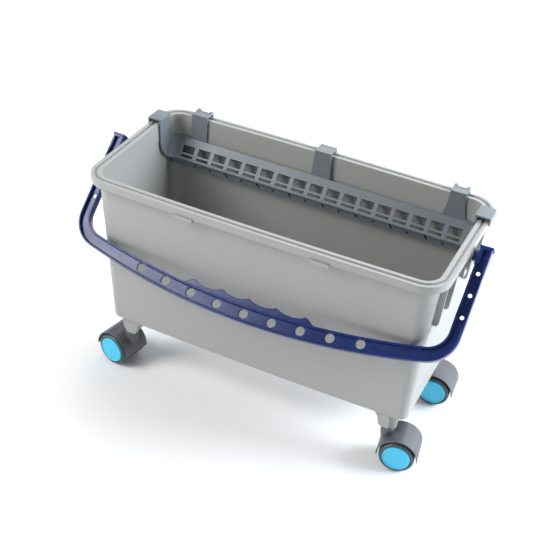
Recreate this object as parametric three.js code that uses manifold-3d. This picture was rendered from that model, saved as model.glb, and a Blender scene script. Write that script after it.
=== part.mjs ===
// Wheeled rectangular bucket with a hanging strainer, a swinging bail handle and four twin-wheel castors.
// Millimetres, +Z up, long side along X, front (handle side) at -Y, wheels standing on z = 0.
import * as THREE from "three";
import { mergeVertices } from "three/addons/utils/BufferGeometryUtils.js";
import Module from "manifold-3d";

const wasm = await Module();
wasm.setup();

// Tub
const RIM_TOP = 331;
const RIM_LENGTH = 511;
const RIM_WIDTH = 237.4;
const RIM_RADIUS = 34.8;
const RIM_FLANGE = 14.2;
const SKIRT_HEIGHT = 10.5;
const SKIRT_WALL = 2.2;
const FLANGE_UNDER = 4.2;
const SIDE_BOW = 3.6;
const WALL = 3;
const BASE_Z = 87.8;
const BASE_LENGTH = 459.5;
const BASE_WIDTH = 181;
const BASE_RADIUS = 11;
const BASE_FILLET = 6;
const BOSS_BOTTOM = 60.5;
const RIB_YS = [38, 78];
const RIB_REACH = 8;
const RIB_BOTTOM = 250;

// Bail handle
const PIVOT_Z = 317;
const HANG_ANGLE = 42;
const ARM_OUTER_X = 279.5;
const ARM_INNER_X = 263.5;
const BAR_OUTER = { v: -833, r: 1015 };
const BAR_INNER = { v: -960.5, r: 1120 };
const BAIL_FRONT = -9.5;
const BAIL_BACK = 2;
const WEB_FRONT = -4.2;
const WEB_BACK = -1.2;
const BAIL_SKIN = 3;
const BAR_HOLE_R = 6.2;
const HOLE_PITCH = 40.5;
const PIN_R = 6;
const PIN_HOLE_R = 6.4;
const BOSS_FACE_X = 257.4;

// Strainer
const HOLE_COUNT = 17;
const STRAINER_PITCH = 26;
const STRAINER_HOLE_W = 18;
const STRAINER_HALF_LENGTH = 236;
const SHEET = 2.6;
const BAND_TOP = [100.6, 297];
const BAND_FOOT = [81.4, 272.5];
const APRON_BOTTOM = 257;
const HOOK_FOOT = RIM_TOP + 0.7;
const HOOK_TOP = 336.8;
const END_HOOK_TOP = 338;
const END_STRAP = [59, 87];

// Castors
const CASTOR_X = 204.8;
const CASTOR_Y = 78.3;
const TRAIL = 19.6;
const WHEEL_R = 25;
const WHEEL_SIDES = 24;
const WHEEL_INNER_Y = 4.8;
const WHEEL_OUTER_Y = 23.6;
const HOOD_R = 28.2;
const HOOD_HALF = 22.4;
const CAP_R = 18.7;
const STEM_R = 5.5;
const STEM_HOLE_R = 5.9;
const AXLE_R = 3;
const AXLE_HOLE_R = 3.4;
const CASTORS = [
  { tag: "fr", x: 1, y: -1, turn: 10 },
  { tag: "fl", x: -1, y: -1, turn: 169 },
  { tag: "rr", x: 1, y: 1, turn: 4.5 },
  { tag: "rl", x: -1, y: 1, turn: 176 },
];

const COLOURS = {
  grey: { color: 0xb4b6b4, roughness: 0.55, metalness: 0 },
  strainer: { color: 0x848b94, roughness: 0.5, metalness: 0 },
  blue: { color: 0x1d2d6b, roughness: 0.4, metalness: 0 },
  hood: { color: 0x4a4c50, roughness: 0.45, metalness: 0 },
  tyre: { color: 0x3d444a, roughness: 0.7, metalness: 0 },
  core: { color: 0x8d9299, roughness: 0.5, metalness: 0 },
  cap: { color: 0x3ab4e0, roughness: 0.35, metalness: 0 },
  steel: { color: 0xb8babd, roughness: 0.3, metalness: 1 },
};

const radians = THREE.MathUtils.degToRad;

// Turns a closed three.js geometry into a manifold-3d solid.
function solid(geometry, matrix) {
  const bare = geometry.clone();
  bare.deleteAttribute("normal");
  bare.deleteAttribute("uv");
  if (matrix) bare.applyMatrix4(matrix);
  const merged = mergeVertices(bare, 1e-4);
  const mesh = new wasm.Mesh({
    numProp: 3,
    vertProperties: new Float32Array(merged.attributes.position.array),
    triVerts: new Uint32Array(merged.index.array),
  });
  return new wasm.Manifold(mesh);
}

function move(x, y, z) {
  return new THREE.Matrix4().makeTranslation(x, y, z);
}

function box(x0, x1, y0, y1, z0, z1) {
  const shape = new THREE.BoxGeometry(x1 - x0, y1 - y0, z1 - z0);
  return solid(shape, move((x0 + x1) / 2, (y0 + y1) / 2, (z0 + z1) / 2));
}

// A cylinder between two heights on an axis: "x", "y" or "z". Its flats face along the other axes.
function cylinder(axis, radius, from, to, a, b, sides = 20) {
  const shape = new THREE.CylinderGeometry(radius, radius, to - from, sides);
  const middle = (from + to) / 2;
  shape.rotateY(Math.PI / sides);
  if (axis === "x") shape.rotateZ(-Math.PI / 2).translate(middle, a, b);
  if (axis === "y") shape.translate(a, middle, b);
  if (axis === "z") shape.rotateX(Math.PI / 2).translate(a, b, middle);
  return solid(shape);
}

// Extrudes a closed outline along the third axis of the frame that the matrix sets up.
function prism(outline, from, to, matrix = new THREE.Matrix4()) {
  const shape = new THREE.Shape(outline.map(([x, y]) => new THREE.Vector2(x, y)));
  const body = new THREE.ExtrudeGeometry(shape, { depth: to - from, bevelEnabled: false, steps: 1 });
  body.translate(0, 0, from);
  return solid(body, matrix);
}

// An outline in Y and Z, extruded along X.
const ALONG_X = new THREE.Matrix4().makeBasis(
  new THREE.Vector3(0, 1, 0),
  new THREE.Vector3(0, 0, 1),
  new THREE.Vector3(1, 0, 0),
);
// An outline in X and Z, extruded along -Y.
const ALONG_MINUS_Y = new THREE.Matrix4().makeRotationX(Math.PI / 2);

function arc(cx, cy, r, from, to, steps) {
  return Array.from({ length: steps + 1 }, (_, i) => {
    const angle = radians(from + ((to - from) * i) / steps);
    return [cx + r * Math.cos(angle), cy + r * Math.sin(angle)];
  });
}

// A closed solid of revolution about Y: the profile holds [radius, y] pairs and starts and ends on the axis.
function turned(profile, sides, matrix) {
  const points = profile.map(([r, y]) => new THREE.Vector2(r, y));
  const body = new THREE.LatheGeometry(points, sides);
  body.rotateY(Math.PI / sides);
  return solid(body, matrix);
}

// One rounded rectangle whose long sides bow outwards.
function ring(length, width, radius, z) {
  const cx = length / 2 - radius;
  const cy = width / 2 - radius;
  const outline = [
    ...arc(cx, cy, radius, 0, 90, 5),
    [cx / 2, width / 2],
    [0, width / 2],
    [-cx / 2, width / 2],
    ...arc(-cx, cy, radius, 90, 180, 5),
    ...arc(-cx, -cy, radius, 180, 270, 5),
    [-cx / 2, -width / 2],
    [0, -width / 2],
    [cx / 2, -width / 2],
    ...arc(cx, -cy, radius, 270, 360, 5),
  ];
  return outline.map(([x, y]) => {
    const bow = 1 + ((2 * SIDE_BOW) / width) * (1 - ((2 * x) / length) ** 2);
    return [x, y * bow, z];
  });
}

// Joins rings of equal point count into a closed solid, with a fan across each end.
function loft(rings) {
  const count = rings[0].length;
  const positions = rings.flat(2);
  const faces = [];
  for (let r = 0; r + 1 < rings.length; r++)
    for (let i = 0; i < count; i++) {
      const j = (i + 1) % count;
      const a = r * count + i;
      const b = r * count + j;
      faces.push(a, b, b + count, a, b + count, a + count);
    }
  const first = positions.length / 3;
  const last = (rings.length - 1) * count;
  positions.push(0, 0, rings[0][0][2], 0, 0, rings[rings.length - 1][0][2]);
  for (let i = 0; i < count; i++) {
    const j = (i + 1) % count;
    faces.push(first, j, i);
    faces.push(first + 1, last + i, last + j);
  }
  const body = new THREE.BufferGeometry();
  body.setAttribute("position", new THREE.Float32BufferAttribute(positions, 3));
  body.setIndex(faces);
  return solid(body);
}

// A ring of the tub's wall, set in from its outer skin.
function wallRing(z, inset) {
  const top = RIM_TOP - FLANGE_UNDER;
  const t = (top - z) / (top - BASE_Z);
  const step = 2 * (RIM_FLANGE - WALL);
  const length = THREE.MathUtils.lerp(RIM_LENGTH - step, BASE_LENGTH, t);
  const width = THREE.MathUtils.lerp(RIM_WIDTH - step, BASE_WIDTH, t);
  const radius = THREE.MathUtils.lerp(RIM_RADIUS - step / 2, BASE_RADIUS, t);
  return ring(length - 2 * inset, width - 2 * inset, Math.max(radius - inset, 2), z);
}

function rimRing(inset, z) {
  return ring(RIM_LENGTH - 2 * inset, RIM_WIDTH - 2 * inset, RIM_RADIUS - inset, z);
}

function wallX(z) {
  return wallRing(z, 0)[0][0];
}

// Bottom edge rounding: rings from the flat base out to the side wall.
function baseFillet() {
  return [80, 50, 20, 0].map((angle) => {
    const inset = BASE_FILLET * (1 - Math.cos(radians(angle)));
    const z = BASE_Z + BASE_FILLET * (1 - Math.sin(radians(angle)));
    return wallRing(z, inset);
  });
}

function makeShell() {
  const floorZ = BASE_Z + WALL;
  const outside = [
    ...baseFillet(),
    wallRing(RIM_TOP - FLANGE_UNDER, 0),
    rimRing(SKIRT_WALL, RIM_TOP - FLANGE_UNDER),
    rimRing(SKIRT_WALL, RIM_TOP - SKIRT_HEIGHT),
    rimRing(0, RIM_TOP - SKIRT_HEIGHT),
    rimRing(0, RIM_TOP - 1),
    rimRing(0.9, RIM_TOP),
    rimRing(4, RIM_TOP),
    rimRing(5.2, RIM_TOP - 1.8),
    rimRing(9, RIM_TOP - 1.8),
    rimRing(10.2, RIM_TOP),
    rimRing(RIM_FLANGE - 0.5, RIM_TOP),
    rimRing(RIM_FLANGE, RIM_TOP - 0.6),
    wallRing(floorZ + 4, WALL),
    wallRing(floorZ + 1, WALL + 1.2),
    wallRing(floorZ, WALL + 4),
  ];
  return loft(outside);
}

// A rounded foot under the tub that holds one castor stem.
function castorFoot(sx, sy) {
  const reach = 12.5;
  const low = BOSS_BOTTOM + reach;
  const outline = [
    [-24, BASE_Z + 1.5],
    [-18, BASE_Z - 2],
    [-14, low + 4],
    ...arc(0, low, reach, 180, 360, 10),
    [14, low + 4],
    [18, BASE_Z - 2],
    [24, BASE_Z + 1.5],
  ];
  const foot = prism(outline, -13, 11.5, ALONG_MINUS_Y);
  const placed = sy < 0 ? foot : foot.mirror([0, 1, 0]);
  return placed.translate([sx * CASTOR_X, sy * CASTOR_Y, 0]);
}

// The ear on an end wall that the bail pin turns in, with a short rib under it.
function pivotEar(side) {
  const inner = wallX(PIVOT_Z - 24) - 1.5;
  const outline = [
    ...arc(0, PIVOT_Z, 9.5, 0, 180, 8),
    ...arc(0, PIVOT_Z - 14, 9.5, 180, 360, 8),
  ];
  const ear = prism(outline, inner, BOSS_FACE_X, ALONG_X);
  const rib = box(wallX(282) - 1, BOSS_FACE_X - 6, -7, 7, 282, PIVOT_Z - 16);
  const both = ear.add(rib);
  return side > 0 ? both : both.mirror([1, 0, 0]);
}

function pinHole(side) {
  const deep = BOSS_FACE_X - 9.6;
  const hole = cylinder("x", PIN_HOLE_R, deep, BOSS_FACE_X + 1, 0, PIVOT_Z, 20);
  return side > 0 ? hole : hole.mirror([1, 0, 0]);
}

function endRib(side, y) {
  const top = RIM_TOP - FLANGE_UNDER + 0.5;
  const outline = [
    [wallX(RIB_BOTTOM) - 1, RIB_BOTTOM],
    [wallX(RIB_BOTTOM) + RIB_REACH - 2.5, RIB_BOTTOM],
    [wallX(RIB_BOTTOM) + RIB_REACH, RIB_BOTTOM + 5],
    [wallX(top) + RIB_REACH, top],
    [wallX(top) - 1, top],
  ];
  const rib = prism(outline, -y - 1.6, -y + 1.6, ALONG_MINUS_Y);
  return side > 0 ? rib : rib.mirror([1, 0, 0]);
}

// Two short tongues that hang below the skirt on each long side.
function skirtTongue(sx, sy) {
  const y = RIM_WIDTH / 2 + 2.6;
  const z = RIM_TOP - SKIRT_HEIGHT;
  const tongue = box(83, 110, y - 2.2, y, z - 4, z + 2);
  return tongue.scale([sx, sy, 1]);
}

function makeTub() {
  let tub = makeShell();
  for (const side of [-1, 1]) {
    tub = tub.add(pivotEar(side)).subtract(pinHole(side));
    for (const y of RIB_YS) {
      tub = tub.add(endRib(side, y)).add(endRib(side, -y));
      tub = y === RIB_YS[0] ? tub.add(skirtTongue(side, 1)).add(skirtTongue(side, -1)) : tub;
    }
  }
  for (const { x, y } of CASTORS) {
    tub = tub.add(castorFoot(x, y));
    tub = tub.subtract(cylinder("z", STEM_HOLE_R, 0, BASE_Z - 4, x * CASTOR_X, y * CASTOR_Y, 16));
  }
  return tub;
}

// Half of a U outline: an arm line at x, a corner of the given radius, and the long shallow front arc.
function uHalf(armX, bar, margin, corner, startV, steps) {
  const cx = armX - corner;
  const r = bar.r + margin;
  const cv = bar.v + Math.sqrt((r - corner) ** 2 - cx ** 2);
  const lean = THREE.MathUtils.radToDeg(Math.atan2(cv - bar.v, cx));
  return [
    [armX, startV],
    ...arc(cx, cv, corner, 0, lean, steps),
    ...arc(0, bar.v, r, lean, 90, 4).slice(1),
  ];
}

function uLine(armX, bar, margin, corner, startV, steps) {
  const half = uHalf(armX, bar, margin, corner, startV, steps);
  const other = half.slice(0, -1).map(([x, v]) => [-x, v]);
  return [...half, ...other.reverse()];
}

// The closed U band, drawn in by a margin all round.
function bandOutline(margin, startV) {
  const outer = uLine(ARM_OUTER_X - margin, BAR_OUTER, -margin, 44 - margin, startV, 6);
  const inner = uLine(ARM_INNER_X + margin, BAR_INNER, margin, 28 + margin, startV, 6);
  return [...outer, ...inner.reverse()];
}

// The thin plate with finger hollows on the inner side of the bar.
function gripOutline() {
  const top = arc(0, BAR_INNER.v, BAR_INNER.r + 1.4, 85.1, 94.9, 6);
  const edge = [];
  for (let i = -2; i < 2; i++) {
    const middle = (i + 0.5) * HOLE_PITCH;
    for (let k = 0; k < 6; k++) {
      const s = -1 + k / 3;
      edge.push([middle + (s * HOLE_PITCH) / 2, 148.8 + 4.6 * (1 - s * s)]);
    }
  }
  const far = 2 * HOLE_PITCH;
  edge[0] = [-far, 147.4];
  const left = [
    [-far - 12, 153],
    [-far - 7, 148.6],
  ];
  const right = [
    [far, 147.4],
    [far + 7, 148.6],
    [far + 12, 153],
  ];
  return [...top, ...left, ...edge, ...right];
}

// One arm end: a closing plate, and the pin that reaches in to the tub's ear.
function armEnd() {
  const plate = box(ARM_INNER_X - 1, ARM_OUTER_X + 1.5, -13.5, -10.5, -10, 8.5);
  const cheek = box(ARM_INNER_X, ARM_OUTER_X, -11, 12, BAIL_FRONT, 8);
  const hollow = box(ARM_INNER_X + 5, ARM_OUTER_X - BAIL_SKIN, -8, 13, -12, WEB_FRONT);
  const collar = cylinder("x", 8, BOSS_FACE_X + 0.7, ARM_INNER_X + 1, 0, 0, 20);
  const pin = cylinder("x", PIN_R, BOSS_FACE_X - 9, BOSS_FACE_X + 1, 0, 0, 20);
  return plate.add(cheek).subtract(hollow).add(collar).add(pin);
}

function makeBail() {
  let bail = prism(bandOutline(0, -11), BAIL_FRONT, BAIL_BACK);
  const pocket = bandOutline(BAIL_SKIN, 12);
  bail = bail.subtract(prism(pocket, -12, WEB_FRONT)).subtract(prism(pocket, WEB_BACK, 12));
  bail = bail.add(prism(gripOutline(), WEB_FRONT, WEB_BACK));
  for (let i = -4; i <= 4; i++) {
    const x = i * HOLE_PITCH;
    const v = BAR_OUTER.v + Math.sqrt((BAR_OUTER.r - 12) ** 2 - x * x);
    bail = bail.subtract(cylinder("z", BAR_HOLE_R, -8, 2, x, v, 16));
  }
  for (const side of [-1, 1]) {
    const end = side > 0 ? armEnd() : armEnd().mirror([1, 0, 0]);
    bail = bail.add(end);
    for (const v of [23, 53, 83])
      bail = bail.subtract(cylinder("z", 3.5, -8, 2, (side * (ARM_OUTER_X + ARM_INNER_X)) / 2, v, 12));
  }
  const angle = radians(HANG_ANGLE);
  const hang = new THREE.Matrix4().makeBasis(
    new THREE.Vector3(1, 0, 0),
    new THREE.Vector3(0, -Math.cos(angle), -Math.sin(angle)),
    new THREE.Vector3(0, Math.sin(angle), -Math.cos(angle)),
  );
  hang.setPosition(0, 0, PIVOT_Z);
  return bail.transform(hang.elements);
}

// The perforated strip: a sloping band, a rounded lip under it and a short apron.
function strainerStrip() {
  const [y0, z0] = BAND_TOP;
  const [y1, z1] = BAND_FOOT;
  const run = Math.hypot(y0 - y1, z0 - z1);
  const ny = ((z0 - z1) / run) * SHEET;
  const nz = (-(y0 - y1) / run) * SHEET;
  const outline = [
    [y0, z0],
    [y1, z1],
    [y1 - 2, z1 - 1.2],
    [y1 - 3, z1 - 3.4],
    [y1 - 2, z1 - 5.6],
    [y1, z1 - 6.4],
    [y1, APRON_BOTTOM],
    [y1 + 2.4, APRON_BOTTOM],
    [y1 + 2.4, z1 - 4],
    [y1 + ny + 1, z1 + nz],
    [y0 + 1.6, z0 + nz - 1],
    [y0 + 1.6, z0],
  ];
  return prism(outline, -STRAINER_HALF_LENGTH, STRAINER_HALF_LENGTH, ALONG_X);
}

// A frame lying in the sloping band: first axis along X, second up the slope, third out of the band.
function bandFrame() {
  const [y0, z0] = BAND_TOP;
  const [y1, z1] = BAND_FOOT;
  const up = new THREE.Vector3(0, y0 - y1, z0 - z1).normalize();
  const across = new THREE.Vector3(1, 0, 0);
  const out = new THREE.Vector3().crossVectors(across, up);
  return new THREE.Matrix4().makeBasis(across, up, out).setPosition(0, y1, z1);
}

function bandWindow(x, from, to, width) {
  const outline = [
    [x - width / 2, from],
    [x + width / 2, from],
    [x + width / 2, to],
    [x - width / 2, to],
  ];
  return prism(outline, -14, 6, bandFrame());
}

// A strap down the back wall, wider at its foot.
function backStrap(x, topWidth, footWidth) {
  const foot = BAND_TOP[1] - 4;
  const outline = [
    [-footWidth / 2, foot],
    [footWidth / 2, foot],
    [topWidth / 2, HOOK_TOP],
    [-topWidth / 2, HOOK_TOP],
  ];
  const wedge = prism(outline, -108, -98, ALONG_MINUS_Y);
  const lean = (RIM_WIDTH - 2 * RIM_FLANGE - BASE_WIDTH + 2 * WALL) / 2 / (RIM_TOP - BASE_Z);
  const y = (z) => BAND_TOP[0] + lean * (z - BAND_TOP[1]);
  const slice = [
    [y(foot), foot],
    [y(foot) + SHEET, foot],
    [y(HOOK_TOP) + SHEET, HOOK_TOP],
    [y(HOOK_TOP), HOOK_TOP],
  ];
  return wedge.intersect(prism(slice, -40, 40, ALONG_X)).translate([x, 0, 0]);
}

// The part of a back hook that stands on the rim by a rib and turns down behind it.
function backHook(x, width, fingers) {
  const rim = RIM_WIDTH / 2 + SIDE_BOW * (1 - ((2 * x) / RIM_LENGTH) ** 2);
  const half = width / 2;
  const low = HOOK_TOP - SHEET;
  const plate = box(-half, half, 102.6, rim - (fingers ? 3 : 0), low, HOOK_TOP);
  const rib = box(-1.5, 1.5, 103.4, rim - 4, HOOK_FOOT, low + 1);
  const drop = box(-half, half, rim + 0.7, rim + 3, RIM_TOP - 7.3, HOOK_TOP);
  let over = drop.add(box(-half, half, rim - 5, rim + 3, low, HOOK_TOP + (fingers ? 1 : 0)));
  if (fingers) over = over.subtract(box(5 - half, half - 5, rim - 3, rim + 9, 300, HOOK_TOP + 9));
  return plate.add(rib).add(over).translate([x, 0, 0]);
}

// The plate at one end of the strip: it closes the strip and rises to hook over the end rim.
function endPlate(side) {
  const [front, back] = END_STRAP;
  const outline = [
    [front, 297],
    [66, 282],
    [77, 270],
    [80, 266],
    [BAND_FOOT[0], APRON_BOTTOM],
    [BAND_FOOT[0] + 3, APRON_BOTTOM],
    [104, 293],
    [104, 299],
    [back + 4, 302],
    [back, 308],
    [back, END_HOOK_TOP],
    [front, END_HOOK_TOP],
  ];
  const plate = prism(outline, 230, 242, ALONG_X);
  const hollow = loft([wallRing(200, WALL + 3.4), wallRing(326, WALL + 3.4), wallRing(350, WALL + 3.4)]);
  const skin = plate.subtract(hollow);
  return side > 0 ? skin : skin.mirror([1, 0, 0]);
}

function endHook(side) {
  const edge = RIM_LENGTH / 2;
  const [front, back] = END_STRAP;
  const low = END_HOOK_TOP - SHEET;
  const outline = [
    [236.6, low],
    [edge + 0.8, low],
    [edge + 0.8, RIM_TOP - 5],
    [edge + 3.2, RIM_TOP - 5],
    [edge + 3.2, END_HOOK_TOP - 1.4],
    [edge + 1.4, END_HOOK_TOP],
    [236.6, END_HOOK_TOP],
  ];
  const hook = prism(outline, -back, -front, ALONG_MINUS_Y);
  const rib = box(238, edge - 3, 72, 75, HOOK_FOOT, low + 1);
  const both = hook.add(rib);
  return side > 0 ? both : both.mirror([1, 0, 0]);
}

function makeStrainer() {
  let inside = strainerStrip();
  for (let i = 0; i < HOLE_COUNT; i++) {
    const x = (i - (HOLE_COUNT - 1) / 2) * STRAINER_PITCH;
    inside = inside.subtract(bandWindow(x, 8.2, 19.2, STRAINER_HOLE_W));
    inside = inside.subtract(bandWindow(x, 0.6, 5, STRAINER_HOLE_W - 1));
    if (i > 0) {
      const slit = x - STRAINER_PITCH / 2;
      const z = APRON_BOTTOM;
      const tall = i % 2 ? 6.4 : 3.2;
      inside = inside.subtract(box(slit - 1, slit + 1, 75, 90, z - 1, z + tall));
    }
  }
  inside = inside.add(endPlate(1)).add(endPlate(-1));
  inside = inside.add(backStrap(0, 25, 31));
  inside = inside.add(backStrap(200, 23, 37)).add(backStrap(-197.5, 25, 27));
  const top = wallRing(RIM_TOP - FLANGE_UNDER, WALL + 0.7);
  const above = top.map(([x, y]) => [x, y, RIM_TOP + 20]);
  inside = inside.intersect(loft([wallRing(200, WALL + 0.7), top, above]));
  let whole = inside.add(endHook(1)).add(endHook(-1)).add(backHook(0, 25, false));
  whole = whole.add(backHook(200, 23, true)).add(backHook(-197.5, 25, true));
  return whole;
}

// The castor's plastic body: a half-round hood over both wheels, a web between them and a neck.
function castorBody() {
  const z = WHEEL_R;
  const hood = [...arc(TRAIL, z, HOOD_R, 0, 180, 12), ...arc(TRAIL, z, HOOD_R - 1.6, 180, 0, 12)];
  const shell = prism(hood, -HOOD_HALF, HOOD_HALF, ALONG_MINUS_Y);
  const disc = [...arc(TRAIL, z, HOOD_R - 0.8, 0, 180, 12), ...arc(TRAIL, z, 13, 180, 360, 8)];
  const web = prism(disc, -WHEEL_INNER_Y + 0.6, WHEEL_INNER_Y - 0.6, ALONG_MINUS_Y);
  const neck = cylinder("z", 8.5, z - 4, BOSS_BOTTOM - 0.5, 0, 0, 16);
  const front = box(-9, 0, -3.6, 3.6, z - 4, z + 12);
  const room = cylinder("y", WHEEL_R + 1.5, WHEEL_INNER_Y - 0.6, 30, TRAIL, z, WHEEL_SIDES);
  const body = shell.add(web).add(neck).add(front).subtract(room);
  const clear = body.subtract(room.mirror([0, 1, 0]));
  const bore = cylinder("y", AXLE_HOLE_R, -9, 9, TRAIL, z, 12);
  const socket = cylinder("z", STEM_HOLE_R, z + 4, 70, 0, 0, 16);
  return clear.subtract(bore).subtract(socket);
}

function castorStem() {
  return cylinder("z", STEM_R, WHEEL_R + 4.4, BASE_Z - 4.6, 0, 0, 16);
}

function castorAxle() {
  return cylinder("y", AXLE_R, -18, 18, TRAIL, WHEEL_R, 12);
}

const AXLE_AT = move(TRAIL, 0, WHEEL_R);

// The wheel parts below are drawn for the +Y wheel of a castor.
function wheelCore() {
  const [a, b] = [WHEEL_INNER_Y, WHEEL_OUTER_Y];
  const profile = [
    [0, a],
    [8, a],
    [8, a + 2],
    [20.2, a + 2],
    [20.2, b - 0.8],
    [CAP_R + 0.4, b - 0.8],
    [CAP_R + 0.4, b - 4],
    [0, b - 4],
  ];
  const core = turned(profile, WHEEL_SIDES, AXLE_AT);
  return core.subtract(cylinder("y", AXLE_HOLE_R, 0, 18.4, TRAIL, WHEEL_R, 12));
}

function wheelTyre() {
  const [a, b] = [WHEEL_INNER_Y + 0.6, WHEEL_OUTER_Y];
  const out = WHEEL_R / Math.cos(Math.PI / WHEEL_SIDES);
  const profile = [
    [20.5, a],
    [out - 2, a],
    [out, a + 2.2],
    [out, b - 3],
    [out - 1, b - 1],
    [out - 3, b],
    [20.5, b],
    [20.5, a],
  ];
  return turned(profile, WHEEL_SIDES, AXLE_AT);
}

function wheelCap() {
  const b = WHEEL_OUTER_Y;
  const profile = [
    [0, b - 3.6],
    [CAP_R, b - 3.6],
    [CAP_R, b],
    [CAP_R - 1.6, b + 0.9],
    [9, b + 1.9],
    [0, b + 2.2],
  ];
  return turned(profile, WHEEL_SIDES, AXLE_AT);
}

const parts = [];

function add(name, look, body) {
  parts.push({ name, look, body });
}

function addCastor({ tag, x, y, turn }) {
  const place = new THREE.Matrix4().makeRotationZ(radians(turn));
  place.setPosition(x * CASTOR_X, y * CASTOR_Y, 0);
  const put = (body) => body.transform(place.elements);
  add("castor_" + tag + "_body", "hood", put(castorBody()));
  add("castor_" + tag + "_stem", "steel", put(castorStem()));
  add("castor_" + tag + "_axle", "steel", put(castorAxle()));
  for (const [side, flip] of [["a", true], ["b", false]]) {
    const half = (body) => put(flip ? body.mirror([0, 1, 0]) : body);
    add("wheel_" + tag + "_" + side, "core", half(wheelCore()));
    add("tyre_" + tag + "_" + side, "tyre", half(wheelTyre()));
    add("cap_" + tag + "_" + side, "cap", half(wheelCap()));
  }
}

add("tub", "grey", makeTub());
add("bail_handle", "blue", makeBail());
add("strainer", "strainer", makeStrainer());
CASTORS.forEach(addCastor);

// The origin is the middle of the whole part's footprint.
const lowY = Math.min(...parts.map(({ body }) => body.boundingBox().min[1]));
const highY = Math.max(...parts.map(({ body }) => body.boundingBox().max[1]));
const shiftY = -(lowY + highY) / 2;

function toMesh({ name, look, body }) {
  const { numProp, vertProperties, triVerts } = body.translate([0, shiftY, 0]).getMesh();
  const points = [];
  for (let i = 0; i < vertProperties.length; i += numProp)
    points.push(vertProperties[i], vertProperties[i + 1], vertProperties[i + 2]);
  const geometry = new THREE.BufferGeometry();
  geometry.setAttribute("position", new THREE.Float32BufferAttribute(points, 3));
  geometry.setIndex(Array.from(triVerts));
  geometry.computeVertexNormals();
  const mesh = new THREE.Mesh(geometry, new THREE.MeshStandardMaterial(COLOURS[look]));
  mesh.name = name;
  return mesh;
}

const group = new THREE.Group();
group.name = "wheeled_bucket";
for (const part of parts) group.add(toMesh(part));

export default group;
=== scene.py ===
"""Looks for the wheeled bucket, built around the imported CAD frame.

Shapes are drawn in millimetres. The tub, the strainer and the bail use the tub frame: origin on the floor
under the middle of the tub, long side along X, front at -Y, up +Z. Each castor is drawn in its own frame,
with the swivel axis at the origin and the axle behind it along +X. place() and castor_matrix() turn both
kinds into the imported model's frame, in metres.
"""
import math

import bmesh
import bpy
from mathutils import Matrix, Vector


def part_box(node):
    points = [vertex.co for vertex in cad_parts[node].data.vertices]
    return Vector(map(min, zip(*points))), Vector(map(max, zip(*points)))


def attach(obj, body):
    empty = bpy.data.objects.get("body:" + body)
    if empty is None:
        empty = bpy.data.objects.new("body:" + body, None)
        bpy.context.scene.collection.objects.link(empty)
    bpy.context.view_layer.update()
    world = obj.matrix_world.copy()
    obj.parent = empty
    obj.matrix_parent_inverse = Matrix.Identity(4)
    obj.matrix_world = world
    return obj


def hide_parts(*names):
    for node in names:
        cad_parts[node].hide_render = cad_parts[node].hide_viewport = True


MM = 0.001

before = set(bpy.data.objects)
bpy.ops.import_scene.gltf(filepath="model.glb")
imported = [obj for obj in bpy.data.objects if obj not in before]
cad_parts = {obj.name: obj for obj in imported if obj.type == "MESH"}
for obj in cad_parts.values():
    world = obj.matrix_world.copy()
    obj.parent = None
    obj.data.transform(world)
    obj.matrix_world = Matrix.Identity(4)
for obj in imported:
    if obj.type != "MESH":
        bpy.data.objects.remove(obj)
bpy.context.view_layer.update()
tub_low, tub_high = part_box("tub")

# ---------------------------------------------------------------- driving sizes
# TUB_Y is in metres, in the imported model's frame. The other sizes are in millimetres.
TUB_Y = (tub_low.y + tub_high.y) / 2
RIM_TOP = tub_high.z / MM
EAR_X = tub_high.x / MM

RIM_LENGTH = 511
RIM_WIDTH = 237.4
RIM_RADIUS = 34.8
RIM_FLANGE = 14.2
SKIRT_HEIGHT = 10.5
SKIRT_WALL = 2.2
FLANGE_UNDER = 4.2
SIDE_BOW = 3.6
WALL = 3
BASE_Z = 87.8
BASE_LENGTH = 459.5
BASE_WIDTH = 181
BASE_RADIUS = 11
FOOT_LOW = 60.5
CASTOR_X = 204.8
CASTOR_Y = 78.3
RIB_YS = (38, 78)
TONGUE_X = (83, 110)

PIVOT_Z = 317
HANG_ANGLE = 42
ARM_OUTER_X = 279.5
ARM_INNER_X = 263.5
BAR_OUTER = (-833, 1015)
BAR_INNER = (-960.5, 1120)
OUTER_CORNER = 44
INNER_CORNER = 28
ARM_START = -11
BAIL_FRONT = -9.5
BAIL_BACK = 2
WEB_FRONT = -4.2
WEB_BACK = -1.2
BAIL_SKIN = 3
HOLE_PITCH = 40.5
BAR_HOLE_R = 6.2
BAR_HOLE_INSET = 12
ARM_HOLE_R = 2.7
ARM_HOLES = (23, 53, 83)
PIN_R = 6
PIN_HOLE_R = 6.4

HOLE_COUNT = 17
CELL = 26
WINDOW_HALF = 9.7
WINDOW_SPAN = (8.2, 19.2)
SLOT_SPAN = (1.2, 5.2)
STRIP_HALF = 236
SHEET = 2.6
BAND_TOP = (100.6, 297)
BAND_FOOT = (81.4, 272.5)
APRON_BOTTOM = 257
APRON_LEVELS = (268.4, 266.6, 264.6, 262.6, 260.6, 258.8, APRON_BOTTOM)
APRON_SETBACK = 2.4
APRON_LEAN = 0.22
SLIT = 3
HOOK_START = 266.6
HOOK_DEPTH = 9.6
NOSE_R = 2.5
NOSE = (BAND_FOOT[0] + 0.4, BAND_FOOT[1] - 1.7)
HOOK_FOOT = RIM_TOP + 0.7
HOOK_TOP = 336.8
END_HOOK_TOP = 338
END_STRAP = (59, 87)
END_HOOK_X = 236.8
WALL_GAP = 0.7
# The straps down the back wall: middle, width at the top and at the foot, and whether the hook has fingers.
BACK_STRAPS = ((0, 25, 31, False), (200, 23, 37, True), (-197.5, 25, 27, True))

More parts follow.
